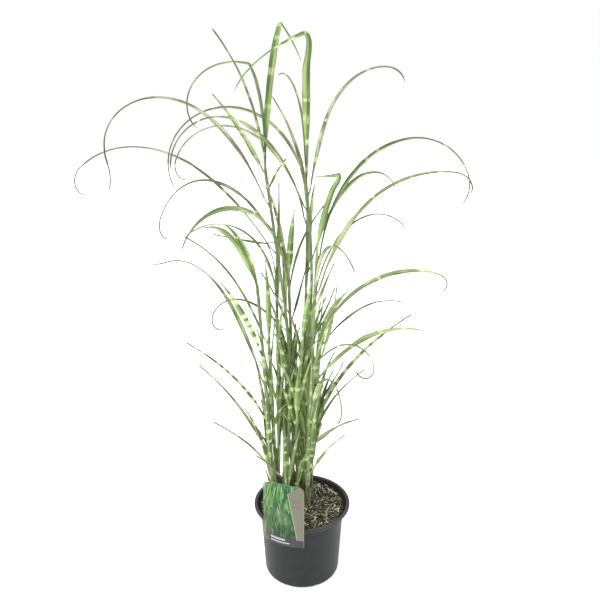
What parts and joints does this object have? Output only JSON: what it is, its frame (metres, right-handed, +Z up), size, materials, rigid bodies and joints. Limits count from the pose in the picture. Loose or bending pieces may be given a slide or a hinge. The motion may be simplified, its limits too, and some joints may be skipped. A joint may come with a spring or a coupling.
{
  "type": "potted ornamental grass",
  "caption": "Clump of zebra-banded miscanthus grass with upright stems and long arching leaves, growing in a round tapered nursery pot with a curved plant label.",
  "frame": {"origin": "centre of the pot's base, on the surface that it stands on", "axes": "+Z up, -Y towards the front of the pot where the label hangs, +X to the right seen from the front"},
  "size_m": [0.7392, 0.4911, 1.0368],
  "materials": {
    "pot": "satin moulded plastic, dark grey, lighter at scuffed edges",
    "compost": "moist dark potting compost with bark and fibre",
    "label": "thin printed card, grass-blade picture with a dark footer band",
    "culm": "green grass stem wrapped in leaf sheaths",
    "leaf": "living grass blade, green with pale cream-yellow cross bands"
  },
  "bodies": {
    "root": {"pot": "pot", "compost": "compost", "plant_label": "label", "culm_a": "culm", "culm_b": "culm", "culm_c": "culm", "culm_d": "culm", "culm_e": "culm", "culm_f": "culm", "culm_g": "culm", "culm_h": "culm", "culm_i": "culm", "culm_j": "culm", "culm_k": "culm", "leaf_a1": "leaf", "leaf_a2": "leaf", "leaf_a3": "leaf", "leaf_a4": "leaf", "leaf_a5": "leaf", "leaf_a6": "leaf", "leaf_b1": "leaf", "leaf_b2": "leaf", "leaf_b3": "leaf", "leaf_c1": "leaf", "leaf_c2": "leaf", "leaf_d1": "leaf", "leaf_d2": "leaf", "leaf_d3": "leaf", "leaf_d4": "leaf", "leaf_e1": "leaf", "leaf_e2": "leaf", "leaf_e3": "leaf", "leaf_e4": "leaf", "leaf_f1": "leaf", "leaf_g1": "leaf", "leaf_g2": "leaf", "leaf_g3": "leaf", "leaf_h1": "leaf", "leaf_h2": "leaf", "leaf_h3": "leaf", "leaf_h4": "leaf", "leaf_h5": "leaf", "leaf_h6": "leaf", "leaf_h7": "leaf", "leaf_h8": "leaf", "leaf_h9": "leaf", "leaf_i1": "leaf", "leaf_i2": "leaf", "leaf_i3": "leaf", "leaf_i4": "leaf", "leaf_i5": "leaf", "leaf_j1": "leaf", "leaf_j2": "leaf", "leaf_j3": "leaf", "leaf_j4": "leaf", "leaf_k1": "leaf", "leaf_k2": "leaf", "leaf_k3": "leaf", "leaf_k4": "leaf", "leaf_k5": "leaf"}
  },
  "joints": []
}
